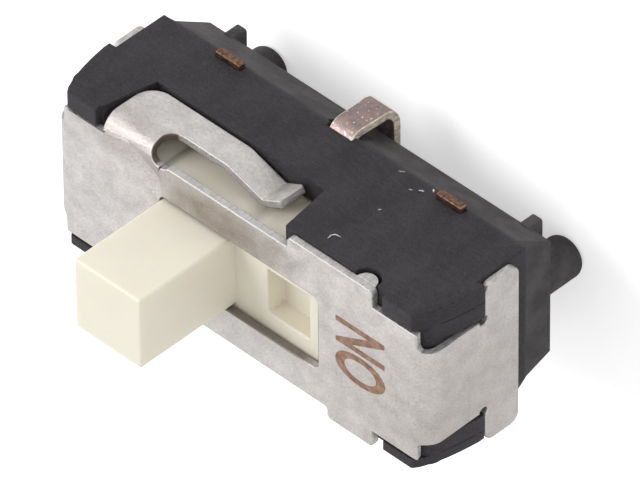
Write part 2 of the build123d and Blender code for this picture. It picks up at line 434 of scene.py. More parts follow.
def prism(loop: Loop, along: Axis, start: float, stop: float) -> bmesh.types.BMesh:
    """A profile pushed along an axis.

    Args:
        loop: The profile, in the other two axes in their own order.
        along: The axis it is pushed along.
        start: Where it starts on that axis.
        stop: Where it ends.

    Returns:
        A closed mesh.
    """
    def spot(p: Point, level: float) -> tuple[float, ...]:
        """Places a point of the profile.

        Args:
            p: The point.
            level: Its place along the prism.

        Returns:
            Its three coordinates.
        """
        xyz = list(p)
        xyz.insert(along.value, level)
        return tuple(xyz)

    bm = bmesh.new()
    ends = [[bm.verts.new(spot(p, level)) for p in loop] for level in (start, stop)]
    bm.faces.new(ends[0])
    bm.faces.new(list(reversed(ends[1])))
    for i in range(len(loop)):
        j = (i + 1) % len(loop)
        bm.faces.new((ends[0][j], ends[0][i], ends[1][i], ends[1][j]))
    bmesh.ops.recalc_face_normals(bm, faces=bm.faces)
    return bm


def to_object(name: str, bm: bmesh.types.BMesh) -> bpy.types.Object:
    """Puts a mesh into a new object in the scene, and frees it.

    Args:
        name: Name of the object and of its mesh.
        bm: The mesh, which is used up.

    Returns:
        The object.
    """
    mesh = bpy.data.meshes.new(name)
    bm.to_mesh(mesh)
    bm.free()
    obj = bpy.data.objects.new(name, mesh)
    bpy.context.scene.collection.objects.link(obj)
    return obj


def take_mesh(obj: bpy.types.Object) -> bmesh.types.BMesh:
    """Takes an object's mesh out of the scene, and removes the object.

    Args:
        obj: The object, which is used up.

    Returns:
        The mesh, to be freed by its user.
    """
    bm = bmesh.new()
    bm.from_mesh(obj.data)
    bpy.data.objects.remove(obj)
    return bm


def settle(obj: bpy.types.Object) -> None:
    """Turns what an object's modifiers make into its plain mesh.

    Args:
        obj: The object, which is changed.
    """
    bpy.context.view_layer.update()
    graph = bpy.context.evaluated_depsgraph_get()
    mesh = bpy.data.meshes.new_from_object(obj.evaluated_get(graph), depsgraph=graph)
    obj.modifiers.clear()
    old, obj.data = obj.data, mesh
    mesh.name = obj.name
    bpy.data.meshes.remove(old)


def combine(obj: bpy.types.Object, tool: bmesh.types.BMesh, how: Cut) -> None:
    """Adds a tool to a solid, or removes it.

    Args:
        obj: The solid, which is changed.
        tool: A closed mesh, which is used up.
        how: Whether it is added or removed.
    """
    cutter = to_object("tool", tool)
    for material in obj.data.materials:
        cutter.data.materials.append(material)
    step = obj.modifiers.new("combine", "BOOLEAN")
    step.solver = "EXACT"
    step.operation = how.value
    step.object = cutter
    settle(obj)
    bpy.data.objects.remove(cutter)


def add_shell(obj: bpy.types.Object, other: bpy.types.Object) -> None:
    """Moves another object's closed shell into an object's mesh.

    Args:
        obj: The object that gains the shell.
        other: The shell, which is used up.
    """
    bm = bmesh.new()
    bm.from_mesh(obj.data)
    bm.from_mesh(other.data)
    bm.to_mesh(obj.data)
    bm.free()
    bpy.data.objects.remove(other)


def soften(obj: bpy.types.Object, width: float, steps: int = 3, over: float = 40) -> None:
    """Rounds a solid's edges.

    Args:
        obj: The solid, which is changed.
        width: Width of the rounding.
        steps: Faces across it.
        over: Smallest angle, in degrees, of an edge that is rounded.
    """
    step = obj.modifiers.new("soften", "BEVEL")
    step.width = width
    step.segments = steps
    step.limit_method = "ANGLE"
    step.angle_limit = math.radians(over)
    step.use_clamp_overlap = False
    step.miter_outer = "MITER_ARC"
    settle(obj)


@dataclass(frozen=True)
class Seat:
    """Where a finished piece belongs in the frame."""

    body: str
    slot: str
    nodes: tuple[str, ...] = ()


def finish_piece(
    obj: bpy.types.Object,
    materials: Sequence[Finish],
    seat: Seat,
    smooth: float = 35,
) -> bpy.types.Object:
    """Brings a piece to metres, shades it, dresses it and gives it its body.

    Args:
        obj: The piece, in millimetres.
        materials: Its materials, in the order of its faces' indices.
        seat: Its body, slot and the nodes it stands for.
        smooth: Largest angle, in degrees, that is shaded smooth.

    Returns:
        The piece.
    """
    obj.data.shade_smooth()
    obj.data.set_sharp_from_angle(angle=math.radians(smooth))
    step = obj.modifiers.new("shade", "WEIGHTED_NORMAL")
    step.keep_sharp = True
    settle(obj)
    obj.data.transform(Matrix.Scale(MM, 4))
    indices = [face.material_index for face in obj.data.polygons]
    obj.data.materials.clear()
    for material in materials:
        obj.data.materials.append(material)
    obj.data.polygons.foreach_set("material_index", [min(i, len(materials) - 1) for i in indices])
    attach(obj, seat.body)
    if seat.nodes:
        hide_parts(*seat.nodes)
    low = [min(v.co[i] for v in obj.data.vertices) / MM for i in range(3)]
    high = [max(v.co[i] for v in obj.data.vertices) / MM for i in range(3)]
    LOG.info("%s: %d faces, %s to %s mm", obj.name, len(obj.data.polygons),
             [round(v, 3) for v in low], [round(v, 3) for v in high])
    return obj


# Finishes


@dataclass(frozen=True)
class Patch:
    """A soft-edged ellipsoid, where a finish differs."""

    centre: Spot
    size: Spot
    soft: float
    share: float = 1.0


class Shader:
    """Builds one material's nodes."""

    def __init__(self, name: str) -> None:
        """Starts a material with its surface shader and millimetre coordinates.

        Args:
            name: Name of the material.
        """
        self.material = bpy.data.materials.new(name)
        self.material.use_nodes = True
        self.tree = self.material.node_tree
        self.surface = self.tree.nodes["Principled BSDF"]
        place = self.tree.nodes.new("ShaderNodeTexCoord")
        scale = self.tree.nodes.new("ShaderNodeMapping")
        scale.inputs["Scale"].default_value = (1 / MM,) * 3
        self.tree.links.new(place.outputs["Object"], scale.inputs["Vector"])
        self.place = scale.outputs["Vector"]

    def set(self, **values: object) -> None:
        """Sets the surface shader's own sockets, named with underscores for spaces."""
        for name, value in values.items():
            self.surface.inputs[name.replace("_", " ")].default_value = value

    def link(self, source: Socket, name: str) -> None:
        """Links a socket to the surface shader."""
        self.tree.links.new(source, self.surface.inputs[name])

    def noise(
        self, size: float, detail: float = 3, rough: float = 0.55, stretch: Spot = (1, 1, 1)
    ) -> Socket:
        """Adds noise.

        Args:
            size: Rough size of its features, in millimetres.
            detail: How many finer layers it has.
            rough: How strong they are.
            stretch: How much longer its features are along each axis.

        Returns:
            Its value.
        """
        shape = self.tree.nodes.new("ShaderNodeMapping")
        shape.inputs["Scale"].default_value = tuple(1 / s for s in stretch)
        node = self.tree.nodes.new("ShaderNodeTexNoise")
        node.inputs["Scale"].default_value = 1 / size
        node.inputs["Detail"].default_value = detail
        node.inputs["Roughness"].default_value = rough
        self.tree.links.new(self.place, shape.inputs["Vector"])
        self.tree.links.new(shape.outputs["Vector"], node.inputs["Vector"])
        return node.outputs["Fac"]

    def ramp(
        self, source: Socket, stops: Sequence[tuple[float, Sequence[float]]]
    ) -> Socket:
        """Colours a value.

        Args:
            source: The value.
            stops: Places along it, each with its colour.

        Returns:
            The colour.
        """
        node = self.tree.nodes.new("ShaderNodeValToRGB")
        band = node.color_ramp
        while len(band.elements) < len(stops):
            band.elements.new(1.0)
        for element, (spot, colour) in zip(band.elements, stops):
            element.position = spot
            element.color = (*colour, 1.0)
        self.tree.links.new(source, node.inputs["Fac"])
        return node.outputs["Color"]

    def spread(self, source: Socket, low: float, high: float,
               start: float = 0.3, stop: float = 0.7) -> Socket:
        """Spreads a value over a range, and holds it there.

        Args:
            source: The value.
            low: What start becomes.
            high: What stop becomes.
            start: First end of the value's own range.
            stop: Its other end.

        Returns:
            The new value.
        """
        node = self.tree.nodes.new("ShaderNodeMapRange")
        node.inputs["From Min"].default_value = start
        node.inputs["From Max"].default_value = stop
        node.inputs["To Min"].default_value = low
        node.inputs["To Max"].default_value = high
        self.tree.links.new(source, node.inputs["Value"])
        return node.outputs["Result"]

    def math(self, how: str, a: object, b: object = 0.0) -> Socket:
        """Does one step of arithmetic.

        Args:
            how: Its operation.
            a: A number or a socket.
            b: Another.

        Returns:
            The result.
        """
        node = self.tree.nodes.new("ShaderNodeMath")
        node.operation = how
        for socket, value in zip(node.inputs, (a, b)):
            if isinstance(value, Socket):
                self.tree.links.new(value, socket)
            else:
                socket.default_value = value
        return node.outputs[0]

    def mix(self, share: object, a: object, b: object, how: str = "MIX") -> Socket:
        """Mixes two colours.

        Args:
            share: Share of the second, a number or a socket.
            a: The first, a colour or a socket.
            b: The second.
            how: How the second is laid over the first.

        Returns:
            The mixed colour.
        """
        node = self.tree.nodes.new("ShaderNodeMix")
        node.data_type = "RGBA"
        node.blend_type = how
        for index, value in ((0, share), (6, a), (7, b)):
            socket = node.inputs[index]
            if isinstance(value, Socket):
                self.tree.links.new(value, socket)
            elif index:
                socket.default_value = (*value, 1.0)
            else:
                socket.default_value = value
        return node.outputs[2]

    def axis(self, axis: Axis, normal: bool = False) -> Socket:
        """Reads one component of the place or of the normal.

        Args:
            axis: Which component.
            normal: True for the surface's normal, False for the place in millimetres.

        Returns:
            The component.
        """
        node = self.tree.nodes.new("ShaderNodeSeparateXYZ")
        source = self.place
        if normal:
            source = self.tree.nodes.new("ShaderNodeNewGeometry").outputs["Normal"]
        self.tree.links.new(source, node.inputs[0])
        return node.outputs[axis.value]

    def within(self, patch: Patch) -> Socket:
        """Finds how far the surface is inside a patch.

        Args:
            patch: The patch.

        Returns:
            1 inside it, falling to 0 past its edge.
        """
        total = None
        for axis, c, r in zip(Axis, patch.centre, patch.size):
            part = self.math("DIVIDE", self.math("SUBTRACT", self.axis(axis), c), r)
            part = self.math("MULTIPLY", part, part)
            total = part if total is None else self.math("ADD", total, part)
        return self.spread(self.math("SQRT", total), 1.0, 0.0, 1.0 - patch.soft, 1.0 + patch.soft)

    def bump(self, *heights: tuple[Socket, float]) -> None:
        """Stacks bumps on the surface.

        Args:
            heights: Each bump's height and its depth in millimetres.
        """
        last = None
        for source, depth in heights:
            node = self.tree.nodes.new("ShaderNodeBump")
            node.inputs["Distance"].default_value = depth * MM
            self.tree.links.new(source, node.inputs["Height"])
            if last:
                self.tree.links.new(last, node.inputs["Normal"])
            last = node.outputs["Normal"]
        self.link(last, "Normal")


@dataclass(frozen=True)
class SheetSteel:
    """Dull rolled stainless sheet, mottled by its grain, with painted shade and a painted
    reflection of the knob in patches.
    """

    name: str = "dull_stainless"
    dark: Colour = (0.50, 0.475, 0.46)
    light: Colour = (0.70, 0.675, 0.66)
    # Darker tone that the patches below multiply in as painted shade.
    painted_shade_tone: Colour = (0.55, 0.50, 0.46)
    rough: Range = (0.48, 0.64)
    grain: float = 0.035
    cloud: float = 0.35
    dent: float = 0.13
    # Painted reflection and shade of the knob, darkening the strip of plate beside it.
    knob_reflection_shade: Patch = Patch((-0.45, 1.08, 3.5), (1.30, 0.42, 0.5), 0.60, 0.85)
    # Painted shade, darker towards the +X end on the -Y side.
    right_end_shade: Patch = Patch((3.9, -0.8, 3.2), (1.7, 1.4, 1.6), 0.8, 0.40)
    # Painted shade that dims the glare on the bend at the spring's root.
    root_glare_shade: Patch = Patch((-2.62, 1.50, 3.42), (0.95, 0.42, 0.40), 0.45, 0.42)

    def build(self) -> Finish:
        """Makes the finish.

        Returns:
            Its material.
        """
        s = Shader(self.name)
        grain = s.noise(self.grain, 5, 0.65, (1.6, 1, 1))
        cloud = s.noise(self.cloud, 4, 0.6)
        tone = s.math("ADD", s.math("MULTIPLY", grain, 0.55), s.math("MULTIPLY", cloud, 0.45))
        colour = s.ramp(tone, ((0.36, self.dark), (0.62, self.light)))
        # Multiplies in the painted shade and the painted reflection of the knob, patch by patch.
        for patch in (self.knob_reflection_shade, self.right_end_shade, self.root_glare_shade):
            here = s.math("MULTIPLY", s.within(patch), patch.share)
            colour = s.mix(here, colour, self.painted_shade_tone, "MULTIPLY")
        s.link(colour, "Base Color")
        s.link(s.spread(cloud, *self.rough), "Roughness")
        s.set(Metallic=1.0)
        s.bump((grain, 0.007), (s.noise(self.dent, 3), 0.010))
        return s.material


@dataclass(frozen=True)
class CutSteel:
    """Sheared edge of the steel sheet, browned as painted shade where it faces -Y and at the slot's
    end, and browner at the window's edges.
    """

    name: str = "sheared_stainless"
    dark: Colour = (0.44, 0.425, 0.415)
    light: Colour = (0.62, 0.605, 0.595)
    brown: Colour = (0.150, 0.118, 0.095)
    brown_share: float = 0.95
    rough: Range = (0.52, 0.68)
    streak: float = 0.03
    dent: float = 0.12
    # Where the slot's end gets painted shade, and where the window's cut edges are browner.
    slot: Patch = Patch((-1.95, 1.62, 3.2), (0.35, 0.42, 0.6), 0.2)
    window: Patch = Patch((0.0, 0.0, 3.42), (2.3, 1.05, 0.5), 0.04, 0.7)

    def build(self) -> Finish:
        """Makes the finish.

        Returns:
            Its material.
        """
        s = Shader(self.name)
        streak = s.noise(self.streak, 3, 0.6, (1, 1, 4))
        bright = s.ramp(streak, ((0.35, self.dark), (0.65, self.light)))
        # Painted shade: cut faces that face -Y, and the slot's end wall, are browned.
        under = s.spread(s.axis(Axis.Y, normal=True), 1.0, 0.0, -0.35, -0.10)
        end = s.spread(s.axis(Axis.X, normal=True), 0.0, 1.0, 0.25, 0.45)
        end = s.math("MULTIPLY", end, s.within(self.slot))
        # The window's cut edges are browner.
        window = s.math("MULTIPLY", s.within(self.window), self.window.share)
        shade_and_brown = s.math("MAXIMUM", s.math("MAXIMUM", under, end), window)
        s.link(s.mix(s.math("MULTIPLY", shade_and_brown, self.brown_share), bright, self.brown), "Base Color")
        s.link(s.spread(streak, *self.rough), "Roughness")
        s.set(Metallic=1.0)
        s.bump((streak, 0.008), (s.noise(self.dent, 3), 0.010))
        return s.material


@dataclass(frozen=True)
class CreamMoulding:
    """Satin cream moulding of the knob, a little translucent."""

    name: str = "cream_moulding"
    base: Colour = (0.83, 0.785, 0.675)
    deep: Colour = (0.81, 0.76, 0.645)
    rough: Range = (0.42, 0.55)
    cloud: float = 0.9
    clear: float = 0.35
    bleed: Spot = (1.0, 0.8, 0.45)

    def build(self) -> Finish:
        """Makes the finish.

        Returns:
            Its material.
        """
        s = Shader(self.name)
        cloud = s.noise(self.cloud, 2)
        s.link(s.ramp(cloud, ((0.30, self.deep), (0.70, self.base))), "Base Color")
        s.link(s.spread(s.noise(0.08, 3), *self.rough), "Roughness")
        s.set(Subsurface_Weight=self.clear, Subsurface_Radius=self.bleed)
        s.set(Subsurface_Scale=0.35 * MM)
        s.bump((s.noise(0.05, 3), 0.0025), (s.noise(0.6, 2), 0.01))
        return s.material


@dataclass(frozen=True)
class BlackMoulding:
    """Matt black glass-filled moulding of the base."""

    name: str = "black_moulding"
    dark: Colour = (0.014, 0.0120, 0.0140)
    light: Colour = (0.042, 0.037, 0.043)
    # Painted light: the lower base, below about Z 1.1, is lighter in patches.
    low_base_light: Colour = (0.086, 0.077, 0.079)
    low_base_light_top: Range = (0.95, 1.12)
    rough: Range = (0.50, 0.72)
    grain: float = 0.045
    cloud: float = 0.6
    scratch: float = 0.03

    def build(self) -> Finish:
        """Makes the finish.

        Returns:
            Its material.
        """
        s = Shader(self.name)
        grain = s.noise(self.grain, 5, 0.7)
        cloud = s.noise(self.cloud, 4, 0.6, (1, 1, 2))
        scratch = s.noise(self.scratch, 4, 0.7, (5, 1, 1))
        tone = s.math("ADD", s.math("MULTIPLY", grain, 0.5), s.math("MULTIPLY", cloud, 0.25))
        tone = s.math("ADD", tone, s.math("MULTIPLY", scratch, 0.25))
        plain = s.ramp(tone, ((0.44, self.dark), (0.57, self.light)))
        # Painted light, in patches, on the lower base towards the board.
        low = s.spread(s.axis(Axis.Z), 1.0, 0.0, *self.low_base_light_top)
        patch = s.spread(s.noise(0.5, 4, 0.65), 0.35, 1.0, 0.40, 0.62)
        s.link(s.mix(s.math("MULTIPLY", low, patch), plain, self.low_base_light), "Base Color")
        s.link(s.spread(grain, *self.rough), "Roughness")
        s.set(Specular_IOR_Level=0.35)
        s.bump((grain, 0.030), (s.noise(0.2, 3), 0.016))
        return s.material


@dataclass(frozen=True)
class TinnedCopper:
    """Thin tin over copper, pink where it is worn through."""

    name: str = "tinned_copper"
    tin: Colour = (0.25, 0.22, 0.225)
    bare: Colour = (0.40, 0.275, 0.245)
    specks: float = 0.9
    speck: Colour = (0.85, 0.83, 0.82)
    rough: Range = (0.32, 0.55)

    def build(self) -> Finish:
        """Makes the finish.

        Returns:
            Its material.
        """
        s = Shader(self.name)
        wear = s.noise(0.16, 5, 0.7)
        colour = s.ramp(wear, ((0.40, self.tin), (0.60, self.bare)))
        specked = s.spread(s.noise(0.045, 2, 0.5), 0.0, self.specks, 0.66, 0.70)
        s.link(s.mix(specked, colour, self.speck), "Base Color")
        s.link(s.spread(s.noise(0.06, 3), *self.rough), "Roughness")
        s.set(Metallic=1.0)
        s.bump((s.noise(0.05, 4, 0.6), 0.012))
        return s.material


@dataclass(frozen=True)
class BareCopper:
    """Cut copper alloy at the ends and edges of the leads."""

    name: str = "bare_copper"
    dark: Colour = (0.085, 0.048, 0.034)
    light: Colour = (0.30, 0.175, 0.115)
    metallic: float = 1.0
    rough: Range = (0.35, 0.55)

    def build(self) -> Finish:
        """Makes the finish.

        Returns:
            Its material.
        """
        s = Shader(self.name)
        streak = s.noise(0.05, 4, 0.65, (1, 1, 2))
        s.link(s.ramp(streak, ((0.38, self.dark), (0.64, self.light))), "Base Color")
        s.link(s.spread(streak, *self.rough), "Roughness")
        s.set(Metallic=self.metallic)
        s.bump((streak, 0.008))
        return s.material


@dataclass(frozen=True)
class BurntMark:
    """Brown oxide that a laser leaves on the steel."""

    name: str = "burnt_mark"
    dark: Colour = (0.20, 0.105, 0.070)
    light: Colour = (0.36, 0.225, 0.155)
    rough: Range = (0.5, 0.7)
    metallic: float = 0.35

    def build(self) -> Finish:
        """Makes the finish.

        Returns:
            Its material.
        """
        s = Shader(self.name)
        tone = s.noise(0.12, 4, 0.6)
        s.link(s.ramp(tone, ((0.36, self.dark), (0.66, self.light))), "Base Color")
        s.link(s.spread(s.noise(0.03, 3), *self.rough), "Roughness")
        s.set(Metallic=self.metallic)
        s.bump((s.noise(0.035, 3), 0.004))
        return s.material


@dataclass(frozen=True)
class PaleDust:
    """Dusty off-white of the flecks."""

    name: str = "pale_dust"
    dark: Colour = (0.30, 0.29, 0.29)
    light: Colour = (0.68, 0.66, 0.65)

    def build(self) -> Finish:
        """Makes the finish.

        Returns:
            Its material.
        """
        s = Shader(self.name)
        s.link(s.ramp(s.noise(0.06, 3), ((0.38, self.dark), (0.60, self.light))), "Base Color")
        s.set(Roughness=0.85)
        return s.material


# Sub-assemblies


def span_of(node: str) -> tuple[Vector, Vector]:
    """A node's lowest and highest corners, in millimetres."""
    low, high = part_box(node)
    return low / MM, high / MM


@dataclass
class Cover:
    """The folded sheet cover with its feet and its detent spring."""

    sheet: float = 0.15
    fold: float = 0.20
    plate: float = 1.36
    middle: float = 1.475
    neck: float = 1.00
    ear: float = 1.70
    ear_outer: float = 3.02
    ear_inner: float = 1.98
    long_ear_inner: float = 1.11
    foot_height: float = 0.78
    foot_corner: float = 0.20
    relief: float = 0.09
    window: Range = (3.58, 1.56)
    window_corner: float = 0.12
    spring_reach: float = 1.70
    root_left: float = -3.08
    root_corner: float = 0.42
    slot_end: float = -2.03
    slot_radius: float = 0.24
    slot_dip: float = 0.09
    arm_low: float = 2.35
    arm_high: float = 2.93
    arm_flat_end: float = -0.80
    arm_radius: float = 0.40
    nose: Point = (0.00, 1.355)
    tip: Point = (0.42, 1.575)
    nose_radius: float = 0.16
    lug_radius: float = 0.20
    lug_inset: float = 0.26
    lug_edge: float = 0.015
    lip_gap: float = 0.02
    lip_corner: float = 0.07
    neck_corner: float = 0.10
    plate_corner: float = 0.05
    ear_corner: float = 0.10
    edge: float = 0.025

    def __post_init__(self) -> None:
        """Works out the paths of the folds."""
        low, high = span_of("cover")
        self.face, self.half = high.z, high.x
        middle = self.face - self.sheet / 2
        end = self.half - self.sheet / 2
        bend = self.fold + self.sheet / 2
        self.main = Path([(-end, low.z), (-end, middle), (end, middle), (end, low.z)], bend)
        out = self.spring_reach - self.sheet / 2
        self.root = Path([(0, middle), (out, middle), (out, self.arm_low)], bend)
        self.arm = Path(
            [(self.slot_end, out), (self.arm_flat_end, out), self.nose, self.tip],
            self.arm_radius,
            self.nose_radius,
        )
        self.fold_start = self.root.spans[1].start
        self.web = self.root.length

    def place(self, u: float, v: float, depth: float) -> Spot:
        """Places a point of the flat blank.

        Args:
            u: How far along X it lies in the flat.
            v: How far along Y.
            depth: How far below the outer face.

        Returns:
            Its place in the formed cover.
        """
        lift = self.sheet / 2 - depth
        on_arm = v > self.root.spans[1].stop
        on_root = self.root_left - 0.05 < u < self.slot_end + self.slot_radius
        if on_arm or (v > self.fold_start and on_root):
            y, z = self.root.at(v, lift)
            if not on_arm or u < self.slot_end:
                return u, y, z
            x, y = self.arm.at(u - self.slot_end, lift)
            return x, y, z
        x, z = self.main.at(u + self.main.length / 2, -lift)
        return x, v, z

    def _tab(self, side: int) -> Loop:
        """Outline of one folded end, in order round the blank.

        Args:
            side: 1 for the end at +X, -1 for the other.

        Returns:
            Points from one corner of the plate to the other.
        """
        tip = self.main.length / 2
        top = tip - self.foot_height
        lip = self.half - self.sheet - self.fold / 2 - self.lip_gap
        dip = top - self.relief / 2
        cut = self.relief
        half = [
            (lip, self.plate, self.lip_corner), (lip + 0.01, self.neck, self.neck_corner),
            (dip - cut, self.neck, 0.0),
        ]
        bite = arc((dip, self.neck), cut, 180, 390, math.radians(24))
        half += [(x, y, 0.0) for x, y in bite]
        half += [(top, self.neck + 0.9 * cut, 0.0)]
        half += [(top, self.ear, self.foot_corner), (tip, self.ear, self.foot_corner)]
        corners = [(u, -v, r) for u, v, r in half] + [(u, v, r) for u, v, r in reversed(half)]
        return [(side * u, side * v) for u, v in rounded_run(corners)]

    def _spring_side(self) -> Loop:
        """Outlines the side with the spring.

        Returns:
            Points from the +X end to the -X end.
        """
        radius, step = self.slot_radius, self.middle
        top = self.web - (self.arm_high - self.arm_low)
        reach = self.slot_end + self.arm.length
        centre = (self.slot_end + radius, self.middle + radius - self.slot_dip)
        edge = math.degrees(math.asin((radius - self.slot_dip) / radius))
        bottom = arc(centre, radius, -edge, -180)
        upper = arc((centre[0], top - radius), radius, 180, 90)
        run = [
            (self.ear_outer, self.plate, self.plate_corner),
            (self.ear_outer, self.ear, self.ear_corner),
            (self.long_ear_inner, self.ear, self.ear_corner),
            (self.long_ear_inner, step, self.plate_corner),
        ]
        run += [(u, v, 0.0) for u, v in bottom + upper]
        run += [
            (reach, top, 0.05), (reach, self.web, 0.06),
            (self.root_left, self.web, self.root_corner), (self.root_left, self.plate, 0.03),
        ]
        return rounded_run(run)

    def _plain_side(self) -> Loop:
        """Outlines the plain side.

        Returns:
            Points from the -X end to the +X end.
        """
        run: list[Corner] = []
        for side in (-1, 1):
            ear = [
                (self.ear_outer, -self.plate, self.plate_corner),
                (self.ear_outer, -self.ear, self.ear_corner),
                (self.ear_inner, -self.ear, self.ear_corner),
                (self.ear_inner, -self.middle, self.plate_corner),
            ]
            run += [(side * u, v, r) for u, v, r in (ear if side < 0 else reversed(ear))]
        return rounded_run(run)

    def build(self, steel: Finish, cut: Finish) -> bpy.types.Object:
        """Makes the cover.

        Args:
            steel: Finish of its faces.
            cut: Finish of its sheared edges.

        Returns:
            The finished piece.
        """
        outline = self._tab(1) + self._spring_side() + self._tab(-1) + self._plain_side()
        w, h = self.window[0] / 2, self.window[1] / 2
        corners = ((-w, -h), (-w, h), (w, h), (w, -h))
        window = rounded([(x, y, self.window_corner) for x, y in corners])
        shift = self.main.length / 2
        folds = [Fold(Axis.X, u - shift) for u in self.main.folds()]
        slot = self.slot_end + self.slot_radius
        folds += [Fold(Axis.Y, v, self.root_left - 1, slot) for v in self.root.folds()]
        past_slot = self.root.spans[1].stop
        for along in self.arm.folds():
            folds.append(Fold(Axis.X, self.slot_end + along, past_slot, self.web + 1))
        blank = Blank([outline, window], self.sheet, self.place, folds, edge=self.edge)
        obj = to_object("formed_cover", blank.mesh())
        for material in (steel, cut):
            obj.data.materials.append(material)
        middle = (self.ear_outer - self.lug_inset, self.face - self.sheet + 0.01)
        lug = arc(middle, self.lug_radius, 180, 360)
        step = to_object("lug", prism(lug, Axis.Y, self.ear - self.sheet, self.ear))
        soften(step, self.lug_edge)
        bm = take_mesh(step)
        for face in bm.faces:
            face.material_index = 1
        combine(obj, bm, Cut.ADD)
        return finish_piece(obj, [steel, cut], Seat("case", "cover_steel", ("cover",)))


@dataclass
class Lead:
    """One stamped contact that lies in the floor, hooked at one end and trimmed at the other."""

    node: str
    lead_x: float
    contact: Range
    side: int
    flank: float
    leg: tuple[float, float, float, float] = (0.28, 0.28, 0.28, 0.28)
    sheet: float = 0.15
    width: float = 0.56
    floor: float = 1.05
    reach: float = 1.87
    foot_end: float = 0.78
    radius: float = 0.13
    foot_radius: float = 0.13
    proud: float = 0.10
    contact_half: float = 0.75
    contact_corner: float = 0.05
    stub_corner: float = 0.03
    foot_corner: float = 0.04
    taper: float = 0.35
    ease: float = 0.15
    edge: float = 0.018

    def __post_init__(self) -> None:
        """Works out the path along the lead."""
        middle = self.reach - self.sheet / 2
        level = self.floor + self.sheet / 2
        self.stub = self.flank + self.proud
        low = self.sheet / 2
        self.path = Path(
            [(-self.stub, level), (middle, level), (middle, low), (self.foot_end, low)],
            self.radius + self.sheet / 2,
            self.foot_radius + self.sheet / 2,
        )

    def place(self, u: float, v: float, depth: float) -> Spot:
        """Where a point of the flat blank goes: u along X, v along the lead."""
        y, z = self.path.at(v, self.sheet / 2 - depth)
        return u, self.side * y, z

    def build(self, tin: Finish, bare: Finish) -> bpy.types.Object:
        """Makes the lead.

        Args:
            tin: Finish of its faces.
            bare: Finish of its cut ends and edges.

        Returns:
            The finished piece.
        """
        x, half, end = self.lead_x, self.width / 2, self.path.length
        near, far = self.stub - self.contact_half, self.stub + self.contact_half
        out = self.stub + self.reach - self.taper
        top_left, top_right, low_left, low_right = self.leg
        bend = end - (self.reach - self.foot_end) - self.ease
        left, right = self.contact
        pad, stub, foot = self.contact_corner, self.stub_corner, self.foot_corner
        corners = [
            (x - half, 0, stub), (x + half, 0, stub),
            (x + half, near, pad), (right, near, pad), (right, far, pad), (x + half, far, pad),
            (x + half, out - self.ease, 0.0), (x + top_right, out, 0.0),
            (x + low_right, bend, 0.0), (x + half, bend + self.taper, 0.0),
            (x + half, end, foot), (x - half, end, foot),
            (x - half, bend + self.taper, 0.0), (x - low_left, bend, 0.0),
            (x - top_left, out, 0.0), (x - half, out - self.ease, 0.0),
            (x - half, far, pad), (left, far, pad), (left, near, pad), (x - half, near, pad),
        ]
        folds = [Fold(Axis.Y, v) for v in self.path.folds()]
        blank = Blank([rounded(corners)], self.sheet, self.place, folds, edge=self.edge)
        obj = to_object(self.node.replace("terminal", "lead"), blank.mesh())
        return finish_piece(obj, [tin, bare], Seat("case", "lead_metal", (self.node,)))


@dataclass
class MovingContact:
    """The springy bridge under the slider, with two fingers at each end."""

    middle: float = -1.0
    sheet: float = 0.10
    half_width: float = 0.50
    slit: float = 0.16
    corner: float = 0.08
    bend: float = 0.12
    hole: float = 0.15
    holes: float = 0.25
    edge: float = 0.015
    line: tuple[Point, ...] = ((0.45, 1.71), (1.0, 1.29), (1.3, 1.45))

    def build(self, metal: Finish, cut: Finish) -> bpy.types.Object:
        """Makes the bridge.

        Args:
            metal: Finish of its faces.
            cut: Finish of its sheared edges.

        Returns:
            The finished piece.
        """
        run = [(self.middle - x, z) for x, z in reversed(self.line)]
        run += [(self.middle + x, z) for x, z in self.line]
        path = Path(run, self.bend)
        half, w, s = path.length / 2, self.half_width, self.slit / 2
        flat = self.line[0][0]

        def place(u: float, v: float, depth: float) -> Spot:
            """Where a point of the flat blank goes."""
            x, z = path.at(u + half, self.sheet / 2 - depth)
            return x, v, z

        quarter = [
            (half, -w, self.corner), (half, -s, 0.03), (flat, -s, s * 0.98), (flat, s, s * 0.98),
            (half, s, 0.03), (half, w, self.corner),
        ]
        corners = quarter + [(-u, -v, r) for u, v, r in quarter]
        loops = [rounded(corners)]
        ring = arc((0, 0), self.hole, 0, 348, math.radians(12))
        for x in (-self.holes, self.holes):
            loops.append([(x + p, q) for p, q in reversed(ring)])
        folds = [Fold(Axis.X, u - half) for u in path.folds()]
        blank = Blank(loops, self.sheet, place, folds, edge=self.edge)
        obj = to_object("contact_bridge", blank.mesh())
        return finish_piece(obj, [metal, cut], Seat("slide", "contact_metal", ("moving_contact",)))


